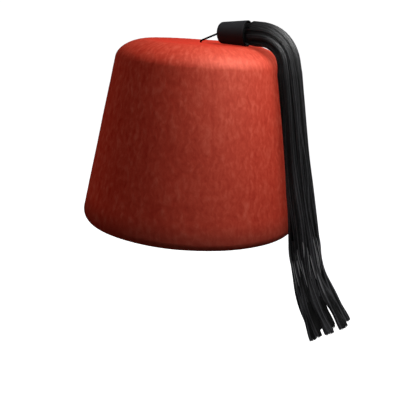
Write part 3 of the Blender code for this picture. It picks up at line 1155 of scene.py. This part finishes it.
    def place(
        self, lock: int | None, around: np.ndarray, depth: np.ndarray, length: np.ndarray,
        inside: bool = False,
    ) -> np.ndarray:
        """Points of a thread in one lock.

        Args:
            lock: which outer lock, or None for the ninth.
            around: how far across the lobe, or round the inner side, at each point.
            depth: how far under the surface.
            length: how far along the middle line.
            inside: whether the thread is on the lock's inner side.

        Returns:
            The points in the tassel's plane.
        """
        centre, normal = self.line.at(length)
        twist = self.line.twist_at(length)
        below = np.clip((length - self.line.split) / self.line.fringe_length, 0, None)
        if lock is None:
            radius, _ = self.bundle_radius(np.minimum(length, self.line.split))
            gap = self.lock_gap * smooth_step(below / self.parted_by)
            reach = self.core_share * (radius - self.flute) - gap - depth
            return centre + turned(normal, SIDE, twist + 2 * math.pi * around) * reach[:, None]
        fused = self.fused(around, depth, length, inside)
        parted = self.parted(self.locks[lock], around, depth, below, inside)
        out, across = (np.where(below > 0, low, high)[:, None] for low, high in zip(parted, fused))
        middle = twist + self.half_sector * (2 * lock + 1)
        return centre + turned(normal, SIDE, middle) * out + turned(SIDE, -normal, middle) * across

    def columns(
        self, lock: int | None, across: np.ndarray, depth: np.ndarray, length: np.ndarray,
        inside: bool = False,
    ) -> list[np.ndarray]:
        """Lines of points straight down one lock.

        Args:
            lock: which outer lock, or None for the ninth.
            across: how far across the lobe, or round the inner side, each line is.
            depth: how far under the surface each point is.
            length: how far along the middle line.
            inside: whether the lines are on the lock's inner side.

        Returns:
            The points in the tassel's plane, line by line.
        """
        return [
            self.place(lock, np.full_like(length, around), depth, length, inside) for around in across
        ]

    def lock_end(self, lock: int | None) -> float:
        """How far along the middle line a lock is cut off."""
        share = self.core_length if lock is None else self.locks[lock].length
        return self.line.split + self.line.fringe_length * share

    def narrowing(self, lock: int | None, length: np.ndarray) -> np.ndarray:
        """How far the skin draws in: in the cap's mouth, below the parting and above the flared ends.

        Args:
            lock: which outer lock, or None for the ninth.
            length: how far along the middle line.

        Returns:
            The depth at each length.
        """
        out_of_cap = (length - self.line.neck_length - self.mouth_gap) / self.mouth_swell
        mouth = self.mouth_narrowing * (1 - smooth_step(out_of_cap))
        parting = self.parting_waist.at(length, self.line.split)
        return mouth + parting + self.tip_waist.at(length, self.lock_end(lock))

    def add_thread(
        self, parts: MeshParts, path: np.ndarray, length: np.ndarray, radius: np.ndarray,
        sides: int, start: float = 0.0, tone: float | np.ndarray = 0.5,
    ) -> None:
        """Adds the skin of one thread.

        Args:
            parts: the piece it goes into.
            path: its middle line in the tassel's plane.
            length: how far along the tassel each of its points is.
            radius: its radius at each.
            sides: how many sides it has.
            start: the turn of its first side.
            tone: how light it is.
        """
        _, normal = self.line.at(length)
        parts.add_tube(self.line.turn(tube_rings(path, normal, SIDE, radius, sides, start)), tone=tone)

    def thread(self, parts: MeshParts, lock: int | None, strand: Strand) -> None:
        """Adds one thread to its lock.

        Args:
            parts: the piece it goes into.
            lock: which outer lock, or None for the ninth.
            strand: where it runs.
        """
        count = max(5, math.ceil((strand.end - strand.start) / self.spacing))
        length = np.linspace(strand.start, strand.end, count)
        phase, wave, amount = strand.sway
        around = strand.clump.around(length, strand.share) + amount * np.sin(length / wave + phase)
        sunk = strand.depth + strand.clump.depth(length, strand.share) + self.narrowing(lock, length)
        path = self.place(lock, around, strand.radius + sunk, length, strand.inside)
        radius = np.full(count, strand.radius)
        radius[-1] *= self.cut_radius_share
        # Painted highlight streaks and painted shade along the thread
        tone = self.tones.along(
            strand.tone, length / self.line.total, self.groove(around), sunk / self.inside_depth
        )
        start = strand.share * self.side_turn
        self.add_thread(parts, path, length, radius, self.thread_sides, start, tone)

    def underlay(self, parts: MeshParts, lock: int | None) -> None:
        """Adds the closed, dark inside of a lock, just under its threads.

        Args:
            parts: the piece it goes into.
            lock: which outer lock, or None for the ninth.
        """
        start, end = self.line.split - self.underlay_overlap, self.lock_end(lock) - self.underlay_short
        length = np.linspace(start, end, self.underlay_rings)
        depth = self.inside_depth + self.narrowing(lock, length)
        if lock is None:
            across = np.linspace(0, 1, self.core_lines, endpoint=False)
            rings = self.columns(lock, across, depth, length)
        else:
            rings = self.columns(lock, np.linspace(*self.lobe_lines), depth, length)
            rings += self.columns(lock, np.linspace(*self.inner_lines), depth, length, inside=True)
        parts.add_tube(self.line.turn(np.stack(rings, 1)))

    def bundle_core(self) -> None:
        """The closed inside of the fused bundle, under its threads."""
        length = np.linspace(0, self.line.split + self.bundle_overlap, self.bundle_rings)
        depth = self.inside_depth + self.narrowing(0, length)
        fused = np.minimum(length, self.line.split)
        across = np.linspace(0, 1, self.bundle_lines, endpoint=False)
        rings = []
        for lock in range(len(self.locks)):
            rings += self.columns(lock, across, depth, fused)
        parts = MeshParts()
        parts.add_tube(self.line.turn(np.stack(rings, 1)))
        parts.piece("tassel_inner_bundle", self.deep_finish.material(), Part.TASSEL)

    def clumps(self, rng: np.random.Generator) -> list[Clump]:
        """Draws the clumps that share a lobe, side by side and not all as wide.

        Args:
            rng: the source of their differences.

        Returns:
            The clumps.
        """
        widths = rng.uniform(0.5, 1.5, self.clumps_per_lobe)
        edges = np.concatenate([[0.0], np.cumsum(widths / widths.sum())])
        return [
            Clump(
                middle=(low + high) / 2,
                half_width=(high - low) / 2 * rng.uniform(1.05, 1.25),
                sway=rng.uniform(0.06, 0.16),
                sway_wave=rng.uniform(60, 140) * MM,
                sway_phase=rng.uniform(0, 6.3),
                sink=rng.uniform(0.1, 0.6) * MM,
                sink_wave=rng.uniform(60, 150) * MM,
                sink_phase=rng.uniform(0, 6.3),
                ridge=rng.uniform(0.7, 1.3) * MM,
                cut_back=rng.uniform(8, 24) * MM if rng.random() < 0.3 else 0.0,
            )
            for low, high in zip(edges, edges[1:])
        ]

    def strands(self, rng: np.random.Generator, lock: int | None) -> list[Strand]:
        """Draws the threads of one lock.

        Args:
            rng: the source of their small differences.
            lock: which outer lock, or None for the ninth.

        Returns:
            The threads.
        """
        made = []
        skins = [(True, self.threads_inside, self.line.split + self.inner_start)]
        if lock is not None:
            skins.insert(0, (False, self.threads_per_lobe, self.outer_start))
        for inside, number, start in skins:
            clumps = self.clumps(rng)
            total = sum(clump.half_width for clump in clumps)
            for clump in clumps:
                count = round(number * clump.half_width / total)
                tones = self.tones.across(count, clump.sway_phase)
                for index in range(count):
                    made.append(Strand(
                        clump=clump,
                        share=2 * (index + 0.5 + rng.uniform(-0.3, 0.3)) / count - 1,
                        depth=abs(rng.normal(0, 0.06)) * MM,
                        start=start,
                        end=self.lock_end(lock) - clump.cut_back + rng.normal(0, 0.35) * MM,
                        radius=self.thread_radius * rng.uniform(0.85, 1.15),
                        sway=(rng.uniform(0, 6.3), rng.uniform(5, 14) * MM, rng.uniform(0.002, 0.008)),
                        inside=inside,
                        # Painted shade on the locks' inner sides
                        tone=tones[index] * (self.tones.painted_inner_shade if inside else 1.0),
                    ))
        return made

    def cut_threads(self, rng: np.random.Generator, lock: int | None) -> list[Strand]:
        """Draws the short threads that fill the cut end of a lock.

        Args:
            rng: the source of their small differences.
            lock: which outer lock, or None for the ninth.

        Returns:
            The threads.
        """
        end = self.lock_end(lock)
        return [
            Strand(
                clump=Clump((index + rng.uniform(0, 1)) / count),
                share=0.0,
                depth=row + rng.uniform(-0.2, 0.2) * MM,
                start=end - reach,
                end=end + rng.normal(0, 0.3) * MM,
                radius=self.thread_radius * rng.uniform(0.9, 1.2),
                sway=(rng.uniform(0, 6.3), 12 * MM, 0.01),
                inside=index % 2 == 0,
                # Painted shade on the short threads in the cut ends
                tone=self.tones.painted_cut_end_shade,
            )
            for row, count, reach in self.cut_rows
            for index in range(count)
        ]

    def loose_threads(self, rng: np.random.Generator) -> None:
        """Adds the few threads that bow out over the grooves where the locks part, painted light grey as
        painted highlights.

        Args:
            rng: the source of their differences.
        """
        parts = MeshParts()
        along = np.linspace(0, 1, self.loose_points)
        places = [(lock, edge) for lock in range(len(self.locks)) for edge in self.loose_edges]
        for lock, edge in places:
            start = self.line.split + rng.uniform(-20, 8) * MM
            end = start + rng.uniform(16, 34) * MM
            for _ in range(rng.integers(1, 4)):
                first, last = start + rng.uniform(0, 3) * MM, end + rng.uniform(0, 3) * MM
                length = np.linspace(first, last, self.loose_points)
                stray = edge + rng.uniform(-0.03, 0.03)
                around = stray + 0.05 * np.sin(along * math.pi * rng.uniform(0.6, 1.2))
                bow = 1 - np.sin(along * math.pi) ** 0.7
                depth = self.thread_radius + self.narrowing(lock, length) * 0.6 + self.loose_bow * bow
                thickness = self.loose_thin + self.loose_swell * np.sin(along * math.pi)
                radius = self.thread_radius * thickness
                path = self.place(lock, around, depth, length)
                self.add_thread(parts, path, length, radius, self.loose_sides)
        # Painted highlight: the loose threads are coloured light grey
        parts.piece("tassel_loose_threads", self.painted_highlight_finish.material(), Part.TASSEL)

    def build(self) -> None:
        """Builds the dark inside of the bundle, then the loose threads and each lock's own."""
        rng = np.random.default_rng(self.seed)
        thread_material = self.finish.material()
        self.bundle_core()
        self.loose_threads(np.random.default_rng(self.loose_seed))
        for lock in [*range(len(self.locks)), None]:
            parts = MeshParts()
            for strand in self.strands(rng, lock) + self.cut_threads(rng, lock):
                self.thread(parts, lock, strand)
            self.underlay(parts, lock)
            name = "tassel_middle_lock" if lock is None else f"tassel_lock_{lock + 1}"
            parts.piece(name, thread_material, Part.TASSEL, self.sharp_angle)


@dataclass
class TasselCap:
    """The drum of tightly wound thread that grips the skirt."""

    line: TasselLine
    edge_radius: float = 3.5 * MM
    socket_depth: float = 6.0 * MM
    socket_chamfer: float = 0.15 * MM
    hole_radius: float = 1.0 * MM
    turn_pitch: float = 0.45 * MM
    turn_depth: float = 0.05 * MM
    rings_per_turn: int = 5
    edge_rings: int = 14
    wound_from: float = 0.2 * MM
    wound_over: float = 1.5 * MM
    sides: int = 128
    stitches: int = 64
    stitch_swell: float = 0.1
    stitch_points: int = 5
    roll_points: int = 10
    roll_out: float = 0.96
    roll_along: float = 0.6
    # Thread overcast round the mouth, coloured near black and matt as painted shade for the recess
    # between the cap and the skirt
    mouth_painted_shade_finish: ViscoseThread = ViscoseThread(
        "viscose_thread_overcast_painted_shade", "040404", "080808", 0.75, 1.4, 0.2
    )
    # Thread wound row on row and pressed smooth: the rows catch a soft, even light
    finish: ViscoseThread = ViscoseThread("viscose_thread_wound", "202022", "2E2E31", 0.62, 1.5, 0.35)

    def round_axis(self, depth: np.ndarray, radius: np.ndarray, turns: np.ndarray) -> np.ndarray:
        """Points round the cap's axis.

        Args:
            depth: how far each is from the closed end.
            radius: how far each is from the axis.
            turns: how far round each is from the upper side.

        Returns:
            The points in the row frame.
        """
        x, z = self.line.cap_along
        start = np.array([self.line.cap_point[0], 0, self.line.cap_point[1]])
        out = turned(np.array([-z, 0, x]), SIDE, turns)
        return self.line.turn(start + depth[..., None] * np.array([x, 0, z]) + radius[..., None] * out)

    def build(self) -> None:
        """Turns the cap's section round its axis, rippled by the rows of thread."""
        line = self.line
        skin = [(self.hole_radius, 0.0)]
        for turn in np.linspace(0, math.pi / 2, self.edge_rings):
            skin.append((
                line.cap_closed_radius - self.edge_radius * (1 - math.sin(turn)),
                self.edge_radius * (1 - math.cos(turn)),
            ))
        start = np.array(skin[-1])
        end = np.array([line.mouth_radius, line.cap_length - line.cap_lip / 2])
        count = int((end[1] - start[1]) / self.turn_pitch * self.rings_per_turn)
        skin += [mix(start, end, share) for share in np.linspace(0, 1, count + 1)[1:]]
        mouth, floor = line.cap_length - line.cap_lip / 3, line.cap_length - self.socket_depth
        inside = [
            (line.mouth_radius - line.cap_lip / 4, mouth),
            (line.socket_radius + self.socket_chamfer, mouth),
            (line.socket_radius, line.cap_length - line.cap_lip),
            (line.socket_radius, floor),
            (self.hole_radius, floor),
        ]
        section = np.array([*skin, *inside])
        radius, depth = section[:, :1], section[:, 1:]
        turns = ring_turns(self.sides)
        wound = smooth_step((depth - self.wound_from) / self.wound_over)
        wound[len(skin):] = 0.0
        phase = 2 * math.pi * (depth / self.turn_pitch) + turns
        radius = radius - self.turn_depth * (1 - np.abs(np.cos(phase / 2))) * wound
        parts = MeshParts()
        parts.add_tube(self.round_axis(depth, radius, turns))
        parts.piece("tassel_cap_wound", self.finish.material(), Part.CAP)
        self.bound_edge()

    def bound_edge(self) -> None:
        """Adds the mouth's edge, overcast stitch by stitch."""
        turns = ring_turns(self.stitch_points * self.stitches)[:, None]
        around = ring_turns(self.roll_points)
        roll = self.line.cap_lip / 2
        swell = roll * (1 + self.stitch_swell * np.cos(turns * self.stitches))
        radius = self.line.mouth_radius - roll + self.roll_out * swell * np.cos(around)
        depth = self.line.cap_length + self.roll_along * (swell * np.sin(around) - roll)
        rings = self.round_axis(depth, radius, turns)
        parts = MeshParts()
        parts.add_tube(np.concatenate([rings, rings[:1]]), caps=False)
        # Painted shade: the mouth's edge is near black where the recess lies in shade
        parts.piece("tassel_cap_bound_edge", self.mouth_painted_shade_finish.material(), Part.CAP)


@dataclass
class TipCord:
    """The three-ply cord from its knot inside the crown, through the tip, into the cap."""

    line: TasselLine
    diameter: float = 1.8 * MM
    plies: int = 3
    lay: float = 4.2 * MM
    sides: int = 8
    bend_radius: float = 1.2 * MM
    rise: float = 1.2 * MM
    in_cap: float = 3 * MM
    spacing: float = 0.3 * MM
    knot_diameter: float = 5 * MM
    knot_radius: float = 0.62 * MM
    knot_height: float = 1.6
    knot_points: int = 72
    # Black thread twisted in three plies: matt, so it reads as one dark line
    finish: ViscoseThread = ViscoseThread("viscose_cord_twisted", "020202", "060606", 0.8, 1.4, 0.05)

    def build(self) -> None:
        """Winds three plies round the cord's line, and ties the knot under the tip."""
        line = self.line
        knot_top = line.crown.height - line.crown.thickness - line.seat_gap
        path = line.rounded(
            [np.array([0.0, knot_top]), np.array([0.0, line.crown.height + self.rise]),
             line.cap_point, line.cap_point + line.cap_along * self.in_cap],
            (self.bend_radius, self.bend_radius), self.spacing,
        )
        slopes = np.gradient(path, axis=0)
        slopes /= np.linalg.norm(slopes, axis=1, keepdims=True)
        zero = np.zeros(len(path))
        centre = np.stack([path[:, 0], zero, path[:, 1]], -1)
        normal = np.stack([-slopes[:, 1], zero, slopes[:, 0]], -1)
        ply = self.diameter / 4
        parts = MeshParts()
        for first in range(self.plies):
            turn = 2 * math.pi * (run_along(path) / self.lay + first / self.plies)
            middle = centre + ply * turned(normal, SIDE, turn)
            rings = tube_rings(middle, normal, SIDE, self.diameter / 2 - ply, self.sides)
            parts.add_tube(line.turn(rings))
        self.knot(parts, knot_top)
        parts.piece("tassel_cord_twisted", self.finish.material(), Part.CORD)

    def knot(self, parts: MeshParts, top: float) -> None:
        """Adds the overhand knot that stops the cord under the tip.

        Args:
            parts: the piece it goes into.
            top: the height of the knot's top.
        """
        turn = ring_turns(self.knot_points)
        size = (self.knot_diameter / 2 - self.knot_radius) / 3
        path = size * np.stack([
            np.sin(turn) + 2 * np.sin(2 * turn), np.cos(turn) - 2 * np.cos(2 * turn),
            -self.knot_height * np.sin(3 * turn),
        ], -1)
        path += UP * (top - self.knot_diameter / 2)
        ahead = np.roll(path, -1, 0) - np.roll(path, 1, 0)
        ahead /= np.linalg.norm(ahead, axis=1, keepdims=True)
        across = np.cross(ahead, UP)
        across /= np.linalg.norm(across, axis=1, keepdims=True)
        rings = tube_rings(path, across, np.cross(across, ahead), self.knot_radius, self.sides)
        parts.add_tube(self.line.turn(np.concatenate([rings, rings[:1]])))


# Stage


@dataclass(frozen=True)
class Lamp:
    """One square soft lamp that faces the hat.

    Its azimuth is in degrees round from the camera's side towards +X, its elevation in degrees above
    the horizon, its distance from the hat's middle and its width in metres, and its power in watts.
    """

    name: str
    azimuth: float
    elevation: float
    distance: float
    width: float
    power: float
    in_sheen: bool = True
    felt_shades: bool = False

    def build(self, felt: bpy.types.Object, middle: Vector) -> None:
        """Adds the lamp.

        Args:
            felt: the crown's felt, which alone casts shade where felt_shades is set.
            middle: where the lamp looks.
        """
        light = bpy.data.lights.new(self.name, "AREA")
        light.shape = "SQUARE"
        light.size = self.width
        light.energy = self.power
        made = link_object(self.name, light)
        a, e = math.radians(self.azimuth), math.radians(self.elevation)
        towards = Vector((math.sin(a) * math.cos(e), -math.cos(a) * math.cos(e), math.sin(e)))
        made.location = middle + towards * self.distance
        made.rotation_mode = "QUATERNION"
        made.rotation_quaternion = towards.to_track_quat("Z", "Y")
        made.visible_camera = False
        made.visible_glossy = self.in_sheen
        if self.felt_shades:
            made.light_linking.blocker_collection = bpy.data.collections.new(f"{self.name}_shade")
            made.light_linking.blocker_collection.objects.link(felt)


@dataclass
class Studio:
    """White paper under and behind the hat, soft lamps round it, and hardly any light besides."""

    middle: Vector = field(default_factory=lambda: Vector((0, 0, 0.09)))
    floor_drop: float = 0.30
    paper_radius: float = 2.2
    sweep_radius: float = 0.9
    wall_height: float = 2.4
    sweep_rings: int = 12
    sides: int = 72
    world_colour: str = "F2F5FA"
    world_light: float = 0.03
    paper: StudioPaper = StudioPaper()
    # Two main lamps at the front right: the stronger one is shaded by the felt alone, so the tassel's
    # own shade stays soft. The last three fill the sides that the camera hardly sees.
    lamps: tuple[Lamp, ...] = (
        Lamp("lamp_front_right", 54, 50, 0.45, 0.2, 1.1, felt_shades=True),
        Lamp("lamp_above", 54, 60, 0.40, 0.2, 0.67),
        Lamp("lamp_front_left", -42, 8, 1.1, 0.7, 0.1),
        Lamp("lamp_left", -96, 18, 1.1, 0.6, 2.4, in_sheen=False),
        Lamp("lamp_behind", 170, 35, 1.2, 0.7, 2.4, in_sheen=False),
        Lamp("lamp_below", -15, -60, 1.0, 0.5, 0.8, in_sheen=False),
    )

    def build_paper(self) -> None:
        """A round floor that sweeps up into a wall all round."""
        section = [(0.001, 0.0), (self.paper_radius, 0.0)]
        for turn in np.linspace(0, math.pi / 2, self.sweep_rings)[1:]:
            out, up = self.sweep_radius * math.sin(turn), self.sweep_radius * (1 - math.cos(turn))
            section.append((self.paper_radius + out, up))
        section.append((self.paper_radius + self.sweep_radius, self.wall_height))
        points = revolved(np.array(section) - [0.0, self.floor_drop], ring_turns(self.sides))
        mesh = bpy.data.meshes.new("studio_paper")
        mesh.from_pydata(points.reshape(-1, 3), [], grid_faces(len(section), self.sides).tolist())
        mesh.materials.append(self.paper.material())
        mesh.shade_smooth()
        made = link_object("studio_paper", mesh)
        made.visible_diffuse = False
        made.visible_glossy = False
        made.visible_shadow = False

    def build(self, felt: bpy.types.Object) -> None:
        """Sets the paper, the lamps and the light all round.

        Args:
            felt: the crown's felt.
        """
        self.build_paper()
        for lamp in self.lamps:
            lamp.build(felt, self.middle)
        world = bpy.data.worlds.new("studio")
        bpy.context.scene.world = world
        world.cycles_visibility.glossy = False
        world.use_nodes = True
        feed(world.node_tree.nodes["Background"], {
            "Color": linear(self.world_colour), "Strength": self.world_light,
        })
        bpy.context.scene.view_settings.view_transform = "Standard"
        log.info("studio: paper and %d lamps", len(self.lamps))


@dataclass
class PhotoCamera:
    """The photograph's camera, from a fit to the crown's outline in its square frame."""

    location: tuple[float, float, float] = (0.0, -0.57828, 0.18410)
    pitch: float = math.radians(17.189)
    yaw: float = math.radians(1.775)
    roll: float = math.radians(4.115)
    view_angle: float = math.radians(35)

    def build(self) -> None:
        """Adds the camera and makes it the scene's own."""
        data = bpy.data.cameras.new("photo_camera")
        data.sensor_fit = "HORIZONTAL"
        data.angle = self.view_angle
        data.clip_start, data.clip_end = 0.01, 20.0
        level_ahead = Vector((math.sin(self.yaw), math.cos(self.yaw), 0))
        ahead = level_ahead * math.cos(self.pitch) - Vector((0, 0, math.sin(self.pitch)))
        level = Vector((math.cos(self.yaw), -math.sin(self.yaw), 0))
        upright = level.cross(ahead)
        right = level * math.cos(self.roll) + upright * math.sin(self.roll)
        up = upright * math.cos(self.roll) - level * math.sin(self.roll)
        made = link_object("photo_camera", data)
        turn = Matrix((right, up, -ahead)).transposed().to_4x4()
        made.matrix_world = Matrix.Translation(self.location) @ turn
        bpy.context.scene.camera = made


def main() -> None:
    """Builds the camera, the hat and the studio in order."""
    logging.basicConfig(level=logging.INFO, format="%(name)s: %(message)s")
    PhotoCamera().build()
    crown = Crown()
    felt = crown.build()
    line = TasselLine(crown)
    TipCord(line).build()
    TasselCap(line).build()
    TasselSkirt(line).build()
    Studio().build(felt)


if __name__ == "__main__":
    main()
